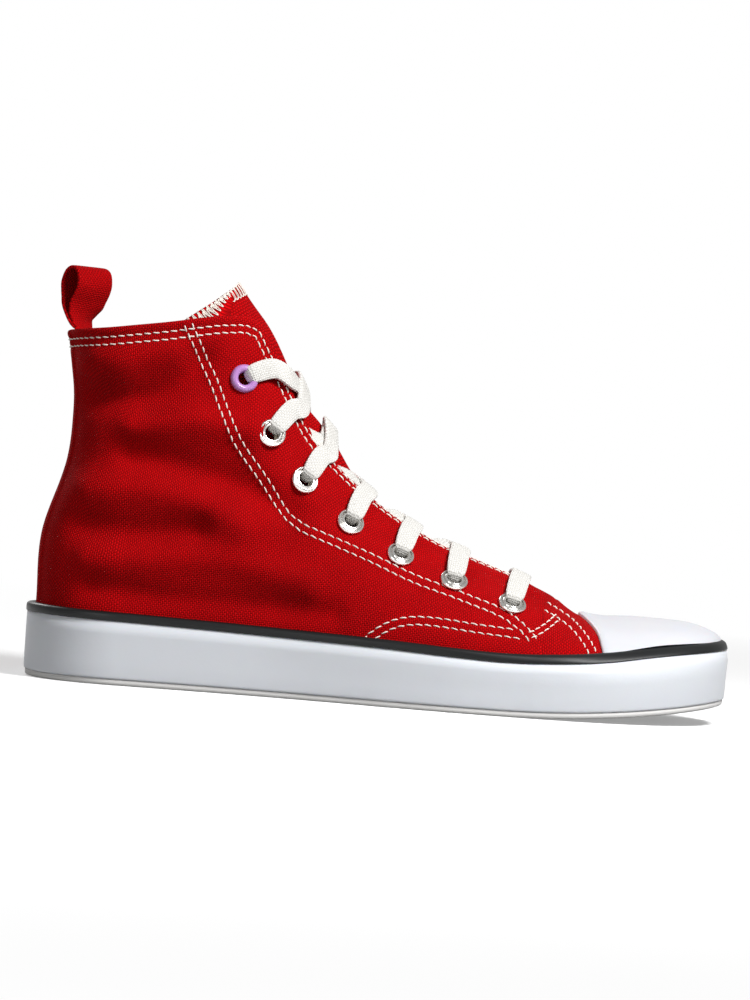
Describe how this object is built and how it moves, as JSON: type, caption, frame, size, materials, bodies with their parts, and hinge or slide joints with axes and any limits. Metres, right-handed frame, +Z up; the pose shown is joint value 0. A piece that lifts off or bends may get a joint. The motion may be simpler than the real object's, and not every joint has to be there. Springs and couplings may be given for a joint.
{
  "type": "canvas high-top sneaker",
  "caption": "Right-foot canvas high-top shoe with laced front, rubber toe cap, striped rubber foxing, pull loop and flat treaded sole.",
  "frame": {"origin": "middle of the shoe's bounding box, on the floor under the sole", "axes": "+X to the toe, +Y to the inner (medial) side of the foot, +Z up"},
  "size_m": [0.2702, 0.0994, 0.1579],
  "materials": {
    "red_canvas": "matt woven cotton canvas",
    "white_rubber": "smooth moulded rubber, slightly glossy",
    "dark_rubber": "smooth satin rubber",
    "white_cotton": "flat woven cotton lace",
    "nickel": "polished nickel plate",
    "lilac_enamel": "glossy lilac enamel",
    "insole_cloth": "plain cotton twill"
  },
  "bodies": {
    "root": {"upper": "red_canvas", "tongue": "red_canvas", "pull_loop": "red_canvas", "toe_cap": "white_rubber", "foxing": "white_rubber", "outsole": "white_rubber", "foxing_stripe": "dark_rubber", "insole": "insole_cloth", "lace_bar": "white_cotton", "lace_cross_1": "white_cotton", "lace_cross_2": "white_cotton", "lace_cross_3": "white_cotton", "lace_cross_4": "white_cotton", "lace_cross_5": "white_cotton", "eyelet_lateral_1": "lilac_enamel", "eyelet_lateral_2": "nickel", "eyelet_lateral_3": "nickel", "eyelet_lateral_4": "nickel", "eyelet_lateral_5": "nickel", "eyelet_lateral_6": "nickel", "eyelet_lateral_7": "nickel", "eyelet_medial_1": "lilac_enamel", "eyelet_medial_2": "nickel", "eyelet_medial_3": "nickel", "eyelet_medial_4": "nickel", "eyelet_medial_5": "nickel", "eyelet_medial_6": "nickel", "eyelet_medial_7": "nickel"}
  },
  "joints": []
}
